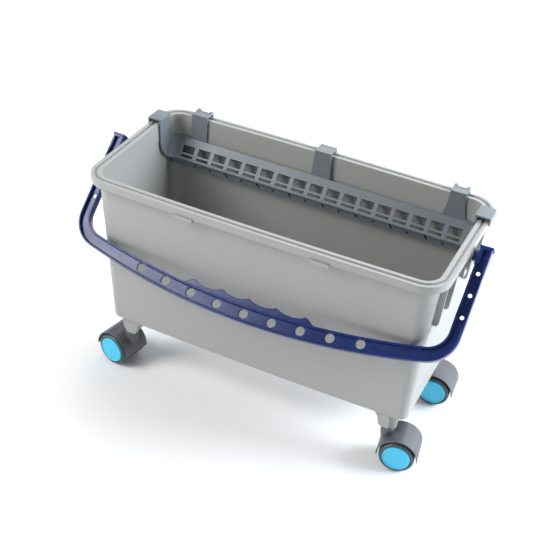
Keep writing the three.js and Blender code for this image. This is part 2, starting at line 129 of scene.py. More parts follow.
CASTOR_TAGS = ("fr", "fl", "rr", "rl")
TRAIL = 19.6
WHEEL_R = 25
WHEEL_INNER = 4.8
WHEEL_OUTER = 24.4
CAP_R = 19.8
HOOD_R = 29
HOOD_HALF = 22.4
HOOD_WALL = 1.6
HOOD_CLEARANCE = 0.3
STEM_HOLE_R = 5.9
AXLE_HOLE_R = 3.4

# Plastic grain: waves per metre and depth in metres.
GRAIN = 1400
GRAIN_DEPTH = 0.0002

# Light powers in watts, and the strength of the even light from all round.
KEY = 63
TOP = 15
WINDOW = 28
FILL = 11
BACKDROP = 60
SKY = 0.24

# The camera: angles in degrees, distances in metres from the point on the floor under the tub's middle,
# and the lens in millimetres.
CAMERA_AZIMUTH = 23.35
CAMERA_ELEVATION = 36.03
CAMERA_ROLL = 4.43
CAMERA_DISTANCE = 1.68329
CAMERA_SIDE = -0.00156
CAMERA_RISE = 0.15173
LENS = 72.94
SENSOR = 36
FLOOR_SIZE = 60


# ---------------------------------------------------------------- mesh helpers
def place():
    """From the tub frame in millimetres to the row frame in metres."""
    return Matrix.Translation((0, TUB_Y, 0)) @ Matrix.Scale(MM, 4)


def soften(points, radii, closed=False, steps=3):
    """Rounds the corners of a chain of vectors; radii says how far before each corner the curve starts."""
    out = []
    last = len(points) - 1
    for i, point in enumerate(points):
        reach = radii[i]
        if reach <= 0 or (not closed and i in (0, last)):
            out.append(point.copy())
            continue
        back = points[i - 1] - point
        on = points[0 if i == last else i + 1] - point
        start = point + back * min(reach / back.length, 0.48)
        end = point + on * min(reach / on.length, 0.48)
        for k in range(steps + 1):
            t = k / steps
            out.append(start * (1 - t) ** 2 + point * (2 * t * (1 - t)) + end * t * t)
    return out


def arc(cx, cy, radius, start, end, steps):
    """Points of an arc, with angles in degrees."""
    out = []
    for i in range(steps + 1):
        angle = math.radians(start + (end - start) * i / steps)
        out.append(Vector((cx + radius * math.cos(angle), cy + radius * math.sin(angle))))
    return out


def skin(loops, closed=False):
    """Vertices and faces through equal loops of points. An open chain gets a flat face at each end."""
    count = len(loops[0])
    verts = [p for loop in loops for p in loop]
    faces = []
    for r in range(len(loops) if closed else len(loops) - 1):
        a = r * count
        b = ((r + 1) % len(loops)) * count
        for i in range(count):
            j = (i + 1) % count
            faces.append((a + i, a + j, b + j, b + i))
    if not closed:
        faces.append(tuple(range(count)))
        faces.append(tuple(range(len(verts) - count, len(verts))))
    return verts, faces


def prism(outline, low, high, axis="z"):
    """A flat outline drawn out along an axis. For "x" the outline is in Y and Z, for "y" in X and Z."""
    spread = {
        "x": lambda p, h: Vector((h, p[0], p[1])),
        "y": lambda p, h: Vector((p[0], h, p[1])),
        "z": lambda p, h: Vector((p[0], p[1], h)),
    }[axis]
    return skin([[spread(p, low) for p in outline], [spread(p, high) for p in outline]])


def block(x0, x1, y0, y1, z0, z1):
    """A box between two corners."""
    return prism([(x0, y0), (x1, y0), (x1, y1), (x0, y1)], z0, z1)


def lathe(profile, sides, closed=False):
    """A solid of revolution about Z from [radius, height] pairs; every radius is above zero."""
    loops = []
    for radius, height in profile:
        turn = [2 * math.pi * i / sides for i in range(sides)]
        loops.append([Vector((radius * math.cos(a), radius * math.sin(a), height)) for a in turn])
    return skin(loops, closed)


def sweep(path, radius, sides=14):
    """A round rod along a chain of points."""
    loops = []
    for i, point in enumerate(path):
        ahead = path[min(i + 1, len(path) - 1)]
        behind = path[max(i - 1, 0)]
        forward = (ahead - behind).normalized()
        across = forward.cross(Vector((0, 0, 1)))
        across = (across if across.length > 0.1 else forward.cross(Vector((1, 0, 0)))).normalized()
        upward = across.cross(forward)
        turn = [2 * math.pi * k / sides for k in range(sides)]
        loops.append([point + (across * math.cos(a) + upward * math.sin(a)) * radius for a in turn])
    return skin(loops)


def build(name, shape, matrix=None, bevel=0.0, segments=2, angle=40):
    """A mesh object from (vertices, faces), with its sharp edges rounded."""
    mesh = bpy.data.meshes.new(name)
    mesh.from_pydata([tuple(v) for v in shape[0]], [], shape[1])
    bm = bmesh.new()
    bm.from_mesh(mesh)
    if matrix is not None:
        bm.transform(matrix)
    bmesh.ops.recalc_face_normals(bm, faces=bm.faces)
    if bevel:
        sharp = [e for e in bm.edges if e.calc_face_angle(0) > math.radians(angle)]
        bmesh.ops.bevel(
            bm, geom=sharp, offset=bevel, segments=segments, profile=0.5, affect="EDGES", clamp_overlap=True
        )
    bm.to_mesh(mesh)
    bm.free()
    obj = bpy.data.objects.new(name, mesh)
    bpy.context.scene.collection.objects.link(obj)
    return obj


def settle(obj):
    """Replaces an object's mesh by the result of its modifiers."""
    bpy.context.view_layer.update()
    graph = bpy.context.evaluated_depsgraph_get()
    mesh = bpy.data.meshes.new_from_object(obj.evaluated_get(graph))
    obj.modifiers.clear()
    obj.data = mesh


def combine(target, operation, others):
    """Joins, cuts or intersects target with each of the others, and removes them."""
    for other in others:
        modifier = target.modifiers.new(operation, "BOOLEAN")
        modifier.operation = operation
        modifier.solver = "EXACT"
        modifier.object = other
    settle(target)
    for other in others:
        bpy.data.objects.remove(other)
    return target


def mirror_x(obj):
    """A copy of an object mirrored across X."""
    twin = obj.copy()
    twin.data = obj.data.copy()
    twin.data.transform(Matrix.Diagonal((-1, 1, 1, 1)))
    twin.data.flip_normals()
    bpy.context.scene.collection.objects.link(twin)
    return twin


def piece(obj, name, matrix, body, material, replaced=(), sharp=38):
    obj.name = name
    obj.data.name = name
    obj.data.transform(matrix)
    bm = bmesh.new()
    bm.from_mesh(obj.data)
    bmesh.ops.remove_doubles(bm, verts=bm.verts, dist=0.00001)
    bmesh.ops.dissolve_degenerate(bm, edges=bm.edges, dist=0.000005)
    bm.to_mesh(obj.data)
    bm.free()
    for polygon in obj.data.polygons:
        polygon.use_smooth = True
    obj.data.set_sharp_from_angle(angle=math.radians(sharp))
    even = obj.modifiers.new("even_shading", "WEIGHTED_NORMAL")
    even.keep_sharp = True
    obj.data.materials.clear()
    obj.data.materials.append(material)
    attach(obj, body)
    if replaced:
        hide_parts(*replaced)
    return obj


# ---------------------------------------------------------------- tub
def wall_size(z, inset):
    """Length, width, corner radius and height of the wall at z, set in from the outer skin."""
    top = RIM_TOP - FLANGE_UNDER
    t = (top - z) / (top - BASE_Z)
    step = 2 * (RIM_FLANGE - WALL)
    length = (RIM_LENGTH - step) * (1 - t) + BASE_LENGTH * t - 2 * inset
    width = (RIM_WIDTH - step) * (1 - t) + BASE_WIDTH * t - 2 * inset
    radius = (RIM_RADIUS - step / 2) * (1 - t) + BASE_RADIUS * t - inset
    return Vector((length, width, max(radius, 2), z))


def rim_size(inset, z):
    """Length, width, corner radius and height of the rim's outline, set in from its outer edge."""
    return Vector((RIM_LENGTH - 2 * inset, RIM_WIDTH - 2 * inset, RIM_RADIUS - inset, z))


def line_between(a, b, count):
    """Points from a towards b, without b."""
    return [a.lerp(b, i / count) for i in range(count)]


def ring(size, corner=12, long_side=24, short_side=8):
    """A rounded rectangle whose long sides bow outwards."""
    length, width, radius, z = size
    cx = length / 2 - radius
    cy = width / 2 - radius
    outline = []
    corners = [(cx, cy, 0), (-cx, cy, 90), (-cx, -cy, 180), (cx, -cy, 270)]
    for i, (x, y, start) in enumerate(corners):
        turn = arc(x, y, radius, start, start + 90, corner)
        outline += turn[:-1]
        following = corners[(i + 1) % 4]
        goal = arc(following[0], following[1], radius, following[2], following[2] + 90, 1)[0]
        outline += line_between(turn[-1], goal, long_side if i % 2 == 0 else short_side)
    bow = 2 * SIDE_BOW / width
    return [Vector((x, y * (1 + bow * (1 - (2 * x / length) ** 2)), z)) for x, y in outline]


def shell_rings():
    """The tub's section from the underside, out and up, over the rim and down to the inner floor."""
    floor_z = BASE_Z + WALL
    lip = RIM_TOP - FLANGE_UNDER
    skirt = RIM_TOP - SKIRT_HEIGHT
    section = [
        (wall_size(BASE_Z, 14), 0),
        (wall_size(BASE_Z, 0), 1.6),
        (wall_size(lip, 0), 1.6),
        (rim_size(SKIRT_WALL, lip), 1),
        (rim_size(SKIRT_WALL, skirt), 0.7),
        (rim_size(0, skirt), 0.9),
        (rim_size(0, RIM_TOP), 1.4),
        (rim_size(4.6, RIM_TOP), 0.7),
        (rim_size(5.3, RIM_TOP - 2.4), 0.7),
        (rim_size(8.2, RIM_TOP - 2.4), 0.7),
        (rim_size(8.9, RIM_TOP), 0.7),
        (rim_size(RIM_FLANGE, RIM_TOP), 1.6),
        (wall_size(floor_z, WALL), 8),
        (wall_size(floor_z, WALL + 16), 0),
    ]
    sizes = soften([size for size, _ in section], [r for _, r in section], steps=5)
    return [ring(size) for size in sizes]


def ear(side):
    """The ear on an end wall that takes the bail's pin, with a short rib under it."""
    inner = wall_size(PIVOT_Z - 24, 0)[0] / 2 - 1.5
    outline = arc(0, PIVOT_Z, 9.5, 0, 180, 20) + arc(0, PIVOT_Z - 14, 9.5, 180, 360, 20)
    lug = build("lug", prism(outline, inner, EAR_X, "x"), bevel=1.0, segments=3)
    rib_in = wall_size(282, 0)[0] / 2 - 1
    rib = build("rib", block(rib_in, EAR_X - 6, -7, 7, 282, PIVOT_Z - 16), bevel=0.8)
    both = combine(lug, "UNION", [rib])
    if side > 0:
        return both
    twin = mirror_x(both)
    bpy.data.objects.remove(both)
    return twin


def pin_hole(side):
    """The cutter for the hole that the bail's pin turns in."""
    deep = EAR_X - 9.6
    turn = Matrix.Rotation(math.radians(90), 4, "Y")
    profile = [(PIN_HOLE_R, deep), (PIN_HOLE_R, EAR_X - 0.8), (7.2, EAR_X + 0.01), (7.2, EAR_X + 1)]
    hole = build("pin_hole", lathe(profile, 40), Matrix.Translation((0, 0, PIVOT_Z)) @ turn)
    if side < 0:
        hole.data.transform(Matrix.Rotation(math.pi, 4, "Z"))
    return hole


def end_rib(side, y):
    """A stiffening rib on an end wall, hanging from under the rim."""
    top = RIM_TOP - FLANGE_UNDER + 0.5
    low = 250
    reach = 8
    wall_low = wall_size(low, 0)[0] / 2
    wall_top = wall_size(top, 0)[0] / 2
    outline = [
        (wall_low - 1, low),
        (wall_low + reach - 2.5, low),
        (wall_low + reach, low + 5),
        (wall_top + reach, top),
        (wall_top - 1, top),
    ]
    outline = [(side * x, z) for x, z in outline]
    return build("end_rib", prism(outline, y - 1.6, y + 1.6, "y"), bevel=0.5)


def foot(sx, sy):
    """The foot that holds a castor stem: a flared plate set back from the wall, and a round boss."""
    inner = -13.5
    outer = 11
    front = 8.4
    corner = 7.5
    level = FOOT_LOW + corner
    outline = [
        Vector((-36, BASE_Z + 1.5)),
        Vector((-22, BASE_Z - 1.5)),
        Vector((inner - 1.5, level + 8)),
    ]
    outline = soften(outline, [0, 9, 0], steps=6)
    outline += arc(inner + corner, level, corner, 184, 270, 10)
    outline += arc(outer - corner, level, corner, 270, 356, 10)
    flare = [
        Vector((outer + 0.8, level + 8)),
        Vector((outer + 2, BASE_Z - 0.5)),
        Vector((outer + 7, BASE_Z + 1.5)),
    ]
    outline += soften(flare, [0, 4, 0], steps=4)
    made = build("foot", prism(outline, -front, 12.5, "y"), bevel=1.1, segments=3, angle=50)
    groove = block(2.6, 30, -20, 3.6 - front, FOOT_LOW - 4, BASE_Z + 0.6)
    made = combine(made, "DIFFERENCE", [build("groove", groove, bevel=0.4)])
    boss = [(9.3, FOOT_LOW - 0.9), (9.9, FOOT_LOW - 0.3), (10.1, BASE_Z + 1)]
    boss = build("boss", lathe(boss, 48), Matrix.Translation((1.1, 3, 0)))
    made = combine(made, "UNION", [boss])
    if sx < 0:
        made.data.transform(Matrix.Diagonal((-1, 1, 1, 1)))
        made.data.flip_normals()
    if sy > 0:
        made.data.transform(Matrix.Diagonal((1, -1, 1, 1)))
        made.data.flip_normals()
    made.data.transform(Matrix.Translation((sx * CASTOR_X, sy * CASTOR_Y, 0)))
    return made


def tongue(sx, sy):
    """A short tab that hangs below the skirt on a long side and stands proud of it."""
    y = RIM_WIDTH / 2 + SIDE_BOW + 1.6
    z = RIM_TOP - SKIRT_HEIGHT
    shape = block(*TONGUE_X, y - 4.6, y, z - 4, z + 1.2)
    return build("tongue", shape, Matrix.Diagonal((sx, sy, 1, 1)), bevel=0.5)


def make_tub(material):
    """The tub: shell, ears, ribs, tongues and feet as one moulding, with its pin holes and stem sockets."""
    tub = build("tub_shell", skin(shell_rings()))
    extras = [ear(1), ear(-1)]
    for side in (-1, 1):
        for y in RIB_YS:
            extras += [end_rib(side, y), end_rib(side, -y)]
        extras += [tongue(side, 1), tongue(side, -1)]
    for sx in (-1, 1):
        extras += [foot(sx, -1), foot(sx, 1)]
    combine(tub, "UNION", extras)
    holes = [pin_hole(1), pin_hole(-1)]
    for sx in (-1, 1):
        for sy in (-1, 1):
            socket = lathe([(STEM_HOLE_R, 50), (STEM_HOLE_R, BASE_Z - 4)], 40)
            holes.append(build("socket", socket, Matrix.Translation((sx * CASTOR_X, sy * CASTOR_Y, 0))))
    combine(tub, "DIFFERENCE", holes)
    return piece(tub, "tub_shell", place(), "tub", material, ("tub",), sharp=32)


# ---------------------------------------------------------------- bail handle
def u_line(arm_x, bar, corner):
    """One edge of the U from the right arm's end, round the bar, to the left arm's end."""
    middle, radius = bar
    cx = arm_x - corner
    cv = middle + math.sqrt((radius - corner) ** 2 - cx * cx)
    lean = math.degrees(math.atan2(cv - middle, cx))
    half = line_between(Vector((arm_x, ARM_START)), Vector((arm_x, cv)), 10)
    half += arc(cx, cv, corner, 0, lean, 14)
    half += arc(0, middle, radius, lean, 90, 28)[1:]
    other = [Vector((-p.x, p.y)) for p in reversed(half[:-1])]
    return half + other


def bail_section(width):
    """The H section across the band: an outline of (distance from the inner edge, depth)."""
    t = BAIL_SKIN
    corners = [
        (0, BAIL_FRONT), (t, BAIL_FRONT), (t, WEB_FRONT), (width - t, WEB_FRONT),
        (width - t, BAIL_FRONT), (width, BAIL_FRONT), (width, BAIL_BACK), (width - t, BAIL_BACK),
        (width - t, WEB_BACK), (t, WEB_BACK), (t, BAIL_BACK), (0, BAIL_BACK),
    ]
    radii = [1.1, 1.1, 0.9, 0.9, 1.1, 1.1, 0.9, 0.9, 0.7, 0.7, 0.9, 0.9]
    return soften([Vector(c) for c in corners], radii, closed=True, steps=3)


def bail_band():
    """The H-section band, from the end of one arm round the bar to the end of the other."""
    outer = u_line(ARM_OUTER_X, BAR_OUTER, OUTER_CORNER)
    inner = u_line(ARM_INNER_X, BAR_INNER, INNER_CORNER)
    loops = []
    for near, far in zip(inner, outer):
        across = far - near
        width = across.length
        across.normalize()
        section = bail_section(width)
        loops.append([Vector((near.x + across.x * s, near.y + across.y * s, n)) for s, n in section])
    return build("bail_handle_band", skin(loops))


def grip_plate():
    """The finger-wave plate that stands in from the bar's inner edge."""
    middle, radius = BAR_INNER
    far = 2 * HOLE_PITCH
    outline = arc(0, middle, radius + 1.6, 84.9, 95.1, 24)
    outline += [Vector((-far - 12, 153.4)), Vector((-far - 5, 148.4)), Vector((-far, 147.2))]
    for i in range(-2, 2):
        centre = (i + 0.5) * HOLE_PITCH
        for k in range(1, 13):
            s = -1 + k / 6
            if i < 1 or k < 12:
                dip = 4.8 * (1 - abs(s) ** 2.2)
                outline.append(Vector((centre + s * HOLE_PITCH / 2, 148.2 + dip)))
    outline += [Vector((far, 147.2)), Vector((far + 5, 148.4)), Vector((far + 12, 153.4))]
    shape = prism(outline, WEB_FRONT - 0.4, WEB_BACK + 0.4)
    return build("grip_plate", shape, bevel=0.9, segments=3, angle=60)


def flared_hole(x, v, radius, sides):
    """A cutter for a web hole whose rims are rounded."""
    lip = 0.7
    profile = [(radius + lip + 1, WEB_FRONT - 3), (radius + lip + 0.3, WEB_FRONT - 0.05)]
    profile += [(radius + lip * 0.3, WEB_FRONT + lip * 0.4), (radius, WEB_FRONT + lip)]
    profile += [(radius, WEB_BACK - lip), (radius + lip * 0.3, WEB_BACK - lip * 0.4)]
    profile += [(radius + lip, WEB_BACK + 0.05), (radius + lip + 1, WEB_BACK + 2.6)]
    return build("hole", lathe(profile, sides), Matrix.Translation((x, v, 0)))


def arm_end():
    """The right arm's end: a box open to the front, a closing plate, and the pin that fits the ear."""
    cheek = block(ARM_INNER_X, ARM_OUTER_X, ARM_START, 12, BAIL_FRONT, 8)
    cheek = build("cheek", cheek, bevel=0.9, segments=3)
    hollow_x = (ARM_INNER_X + 5, ARM_OUTER_X - BAIL_SKIN)
    hollow = build("hollow", block(*hollow_x, -8, 14, -14, WEB_FRONT), bevel=0.7)
    cheek = combine(cheek, "DIFFERENCE", [hollow])
    plate = block(ARM_INNER_X - 1, ARM_OUTER_X + 1.5, ARM_START - 2.5, ARM_START + 0.5, -10, 8.5)
    plate = build("plate", plate, bevel=0.8, segments=3)
    turn = Matrix.Rotation(math.radians(90), 4, "Y")
    root = ARM_INNER_X + 1
    neck = EAR_X + 0.7
    tip = EAR_X - 9
    profile = [(PIN_R - 1, tip), (PIN_R, tip + 1), (PIN_R, neck - 0.1), (7.2, neck)]
    profile += [(8, neck + 0.8), (8, ARM_INNER_X - 1.4), (9.2, root - 0.6), (9.2, root)]
    pin = build("pin", lathe(profile, 48), turn)
    return combine(cheek, "UNION", [plate, pin])


def make_bail(material):
    """The bail handle as one moulding, turned to hang as it does at rest."""
    bail = bail_band()
    right = arm_end()
    left = mirror_x(right)
    combine(bail, "UNION", [grip_plate(), right, left])
    holes = []
    middle, radius = BAR_OUTER
    for i in range(-4, 5):
        x = i * HOLE_PITCH
        v = middle + math.sqrt((radius - BAR_HOLE_INSET) ** 2 - x * x)
        holes.append(flared_hole(x, v, BAR_HOLE_R, 40))
    for side in (-1, 1):
        for v in ARM_HOLES:
            holes.append(flared_hole(side * (ARM_OUTER_X + ARM_INNER_X) / 2, v, ARM_HOLE_R, 28))
    combine(bail, "DIFFERENCE", holes)
    angle = math.radians(HANG_ANGLE)
    hang = Matrix((
        (1, 0, 0, 0),
        (0, -math.cos(angle), math.sin(angle), 0),
        (0, -math.sin(angle), -math.cos(angle), PIVOT_Z),
        (0, 0, 0, 1),
    ))
    return piece(
        bail, "bail_handle_moulding", place() @ hang, "bail", material, ("bail_handle",)
    )


# ---------------------------------------------------------------- strainer
def inner_volume(inset, low, high):
    """The room inside the tub's walls, carried straight up above the rim."""
    top = wall_size(RIM_TOP - FLANGE_UNDER, inset)
    above = top.copy()
    above[3] = high
    return build("room", skin([ring(wall_size(low, inset)), ring(top), ring(above)]))


def band_point(s):
    """A point on the sloping band at a distance up from its foot."""
    foot_point = Vector(BAND_FOOT)
    return foot_point + (Vector(BAND_TOP) - foot_point).normalized() * s


def strip_rows():
    """The strip's section from the band's top down to the apron's foot: front and back (y, z) points."""
    length = (Vector(BAND_TOP) - Vector(BAND_FOOT)).length
    apron_y = BAND_FOOT[0] + APRON_SETBACK
    front = [band_point(s) for s in (length, WINDOW_SPAN[1], WINDOW_SPAN[0], SLOT_SPAN[1], SLOT_SPAN[0])]
    front.append(Vector((BAND_FOOT[0] + 1, BAND_FOOT[1] - 2)))
    for level in APRON_LEVELS:
        front.append(Vector((apron_y + (APRON_LEVELS[0] - level) * APRON_LEAN, level)))
    back = []
    for i, point in enumerate(front):
        ahead = front[min(i + 1, len(front) - 1)]
        behind = front[max(i - 1, 0)]
        along = (ahead - behind).normalized()
        back.append(point + Vector((-along.y, along.x)) * SHEET)
    return front, back


def strip_columns():
    """The strip's columns, left to right: where each starts, its kind, and its lean at the apron's foot."""
    columns = [(-STRIP_HALF, "solid", 0)]
    for i in range(HOLE_COUNT):
        x = (i - (HOLE_COUNT - 1) / 2) * CELL
        left = x - CELL / 2 + SLIT / 2
        right = x + CELL / 2 - SLIT / 2
        if i % 2 == 1:
            kind = "notch"
            leans = (5, 3.5, 1.5, 0)
        else:
            hook = 0 if i == HOLE_COUNT - 1 else 1
            kind = "slit"
            leans = (0, 0, 3 * hook, 5 * hook)
        columns.append((left, "solid", leans[0]))
        columns.append((x - WINDOW_HALF, "window", leans[1]))
        columns.append((x + WINDOW_HALF, "solid", leans[2]))
        columns.append((right, kind, leans[3]))
    columns.append((STRIP_HALF, "solid", 0))
    return columns


def strip_sheet():
    """The perforated strip as a closed sheet: windows, slots under them and hooked slits in the apron."""
    front, back = strip_rows()
    columns = strip_columns()
    apron = len(front) - len(APRON_LEVELS)
    width = len(columns)
    depth = len(front)
    verts = []
    for rows in (front, back):
        for r, row in enumerate(rows):
            drop = max(0.0, (HOOK_START - front[r].y) / HOOK_DEPTH) if r >= apron else 0.0
            for x, _, lean in columns:
                verts.append(Vector((x + lean * drop ** 2.2, row.x, row.y)))

    def solid(r, c):
        if not (0 <= r < depth - 1 and 0 <= c < width - 1):
            return False
        kind = columns[c][1]
        inner = 0 < c < width - 2
        window = kind == "window" and r in (1, 3)
        slit = kind == "slit" and inner and r >= apron
        notch = kind == "notch" and inner and r >= apron + 3
        return not (window or slit or notch)

    behind = width * depth
    faces = []
    for r in range(depth - 1):
        for c in range(width - 1):
            if not solid(r, c):
                continue
            a, b, d, e = (r * width + c, r * width + c + 1, (r + 1) * width + c + 1, (r + 1) * width + c)
            faces.append((a, b, d, e))
            faces.append((behind + e, behind + d, behind + b, behind + a))
            sides = ((b, a, (r - 1, c)), (d, b, (r, c + 1)), (e, d, (r + 1, c)), (a, e, (r, c - 1)))
            for p, q, beyond in sides:
                if not solid(*beyond):
                    faces.append((p, q, behind + q, behind + p))
    used = sorted({i for face in faces for i in face})
    order = {old: new for new, old in enumerate(used)}
    return [verts[i] for i in used], [tuple(order[i] for i in face) for face in faces]


def back_lip():
    """The lip that folds back up behind the apron and keeps its slits dark."""
    low = APRON_BOTTOM + 0.5
    foot_y = BAND_FOOT[0] + APRON_SETBACK + (APRON_LEVELS[0] - low) * APRON_LEAN
    outline = [
        (foot_y + 0.8, low), (foot_y + 6.4, low - 0.6), (foot_y + 2.4, low + 11.6),
        (foot_y + 1, low + 11.6), (foot_y + 4.4, low + 1.3), (foot_y + 0.6, low + 1.5),
    ]
    return build("lip", prism(outline, -STRIP_HALF - 0.7, STRIP_HALF + 0.7, "x"))


def end_plate(side):
    """The plate that closes one end of the strip and rises as a strap to the end hook."""
    front, back = END_STRAP
    outline = [
        Vector((front, 300)), Vector((front + 1.5, 290)), Vector((67, 279)), Vector((78, 269)),
        Vector((BAND_FOOT[0], APRON_BOTTOM)), Vector((BAND_FOOT[0] + 3, APRON_BOTTOM)),
        Vector((106, 293)), Vector((106, 299)), Vector((back + 5, 300)), Vector((back, 308)),
        Vector((back, END_HOOK_TOP)), Vector((front, END_HOOK_TOP)),
    ]
    outline = soften(outline, [6, 6, 6, 5, 0, 0, 0, 0, 4, 4, 0, 0], closed=True, steps=4)
    plate = build("end_plate", prism([(p.x, p.y) for p in outline], 212, 246, "x"))
    plate = combine(plate, "DIFFERENCE", [inner_volume(WALL + WALL_GAP + SHEET, 200, RIM_TOP + 30)])
    if side < 0:
        twin = mirror_x(plate)
        bpy.data.objects.remove(plate)
        return twin
    return plate


def end_fillet(side):
    """The hollow curve between the end plate and the band."""
    radius = 10
    up = (Vector(BAND_TOP) - Vector(BAND_FOOT)).normalized()
    out = Vector((-up.y, up.x))
    curve = [Vector((radius - radius * math.sin(a), radius - radius * math.cos(a)))
             for a in [math.radians(90 * i / 10) for i in range(11)]]
    section = [Vector((-4, -1.2)), Vector((radius, -1.2))] + curve + [Vector((-4, radius))]
    loops = []
    for s in (-1.5, 31):
        point = band_point(s)
        wall = wall_size(point.y, WALL + WALL_GAP + SHEET)[0] / 2
        loop = []
        for inward, height in section:
            at = point + out * height
            loop.append(Vector((side * (wall - inward), at.x, at.y)))
        loops.append(loop)
    return build("fillet", skin(loops))


def end_bead(side):
    """The rounded edge that carries the strip's nose round the corner and up the end strap."""
    corners = [
        Vector((0, *NOSE)),
        Vector((227, *NOSE)),
        Vector((233.5, 76.5, 272)),
        Vector((235.2, 66, 281)),
        Vector((236, END_STRAP[0] + 1.2, 291)),
        Vector((237.4, END_STRAP[0] + 0.4, 304)),
    ]
    path = soften(corners, [0, 6, 6, 6, 6, 0], steps=5)
    path = [Vector((side * p.x, p.y, p.z)) for p in path]
    return build("bead", sweep(path, NOSE_R))


def back_strap(x, top_width, foot_width):
    """A strap down the back wall: a face with a flange along each side, wider at its foot."""
    low = BAND_TOP[1] - 5
    lean = (RIM_WIDTH - 2 * RIM_FLANGE - BASE_WIDTH + 2 * WALL) / 2 / (RIM_TOP - BASE_Z)

    def loop(z, half, depth_in, depth_out):
        y = BAND_TOP[0] + lean * (z - BAND_TOP[1])
        spots = [(-half, depth_in), (half, depth_in), (half, depth_out), (-half, depth_out)]
        return [Vector((x + a, y + b, z)) for a, b in spots]

    def taper(shrink, depth_in, depth_out, z0, z1):
        flare = soften([Vector((foot_width / 2, low)), Vector((top_width / 2 + 1, 316)),
                        Vector((top_width / 2, HOOK_TOP))], [0, 12, 0], steps=5)
        return skin([loop(min(max(p.y, z0), z1), p.x - shrink, depth_in, depth_out) for p in flare])

    face = build("strap", taper(0, 0, 9, low, HOOK_TOP), bevel=0.5)
    pocket = build("pocket", taper(SHEET, SHEET, 14, low - 9, HOOK_TOP - SHEET))
    return combine(face, "DIFFERENCE", [pocket])


def back_hook(x, width, fingers):
    """The part of a back hook that bridges the rim and turns down behind it."""
    rim = RIM_WIDTH / 2 + SIDE_BOW * (1 - (2 * x / RIM_LENGTH) ** 2)
    half = width / 2
    low = HOOK_TOP - SHEET
    top = HOOK_TOP + (1 if fingers else 0)
    outline = [
        Vector((102.6, low)), Vector((rim + 0.7, low)), Vector((rim + 0.7, RIM_TOP - 7.3)),
        Vector((rim + 3, RIM_TOP - 7.3)), Vector((rim + 3, top)), Vector((rim - 4, top)),
        Vector((rim - 6, HOOK_TOP)), Vector((102.6, HOOK_TOP)),
    ]
    outline = soften(outline, [0, 0.8, 0.8, 0.8, 1.2, 1, 1, 0], closed=True, steps=3)
    hook = build("hook", prism(outline, x - half, x + half, "x"), bevel=0.4)
    if fingers:
        gap = block(x + 5 - half, x + half - 5, rim - 3, rim + 9, 300, HOOK_TOP + 9)
        combine(hook, "DIFFERENCE", [build("finger_gap", gap, bevel=1)])
    rib = build("hook_rib", block(x - 1.5, x + 1.5, 103.4, rim - 4, HOOK_FOOT, low + 1))
    return combine(hook, "UNION", [rib])


def end_hook(side):
    """The hook that bridges the rim at one end and turns down outside it."""
    edge = RIM_LENGTH / 2
    front, back = END_STRAP
    low = END_HOOK_TOP - SHEET
    outline = [
        Vector((END_HOOK_X, low)), Vector((edge + 0.8, low)), Vector((edge + 0.8, RIM_TOP - 5)),
        Vector((edge + 3.2, RIM_TOP - 5)), Vector((edge + 3.2, END_HOOK_TOP)),
        Vector((END_HOOK_X, END_HOOK_TOP)),
    ]
    outline = soften(outline, [0, 0.8, 0.9, 0.9, 1.8, 0], closed=True, steps=3)
    outline = [(side * p.x, p.y) for p in outline]
    hook = build("end_hook", prism(outline, front, back, "y"), bevel=0.4)
    low_x, high_x = sorted((side * 238, side * (edge - 3)))
    rib = build("hook_rib", block(low_x, high_x, 72, 75, HOOK_FOOT, low + 1))
    return combine(hook, "UNION", [rib])


def make_strainer(material):
    """The strainer as one moulding: strip, ends and straps trimmed to the tub's inside, then the hooks."""
    strainer = build("strip", strip_sheet(), bevel=0.4, angle=50)
    inside = [back_lip()]
    for side in (-1, 1):
        inside += [end_plate(side), end_fillet(side), end_bead(side)]
    inside += [back_strap(x, top, low) for x, top, low, _ in BACK_STRAPS]
    combine(strainer, "UNION", inside)
    combine(strainer, "INTERSECT", [inner_volume(WALL + WALL_GAP, 200, RIM_TOP + 20)])
    hooks = [back_hook(x, top, fingers) for x, top, _, fingers in BACK_STRAPS]
    combine(strainer, "UNION", hooks + [end_hook(1), end_hook(-1)])
    node = ("strainer",)
    return piece(
        strainer, "strainer_moulding", place(), "strainer", material, node, sharp=34
    )


# ---------------------------------------------------------------- castors
def castor_matrix(tag):
    """From a castor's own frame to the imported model's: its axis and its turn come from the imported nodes."""
    low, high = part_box("castor_" + tag + "_stem")
    axis = (low + high) / 2
    centres = []
    for side in "ab":
        a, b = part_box("wheel_" + tag + "_" + side)
        centres.append((a + b) / 2)
    trail = (centres[0] + centres[1]) / 2 - axis
    turn = math.atan2(trail.y, trail.x)
    where = Matrix.Translation((axis.x, axis.y, 0))
    return where @ Matrix.Rotation(turn, 4, "Z") @ Matrix.Scale(MM, 4)


ALONG_Y = Matrix.Rotation(math.radians(-90), 4, "X")
AT_AXLE = Matrix.Translation((TRAIL, 0, WHEEL_R)) @ ALONG_Y


def hood_shell():
    """The half-round hood over both wheels, with rounded edges."""
    inner = HOOD_R - HOOD_WALL
    outline = arc(TRAIL, WHEEL_R, HOOD_R, -4, 184, 44) + arc(TRAIL, WHEEL_R, inner, 182, -2, 44)
    return build("hood", prism(outline, -HOOD_HALF, HOOD_HALF, "y"), bevel=0.5, segments=3, angle=50)


def castor_web():
    """The plate between the wheels."""
    disc = arc(TRAIL, WHEEL_R, HOOD_R - 0.7, 0, 180, 40) + arc(TRAIL, WHEEL_R, 13, 180, 360, 24)
    return build("web", prism(disc, 0.6 - WHEEL_INNER, WHEEL_INNER - 0.6, "y"), bevel=0.5)


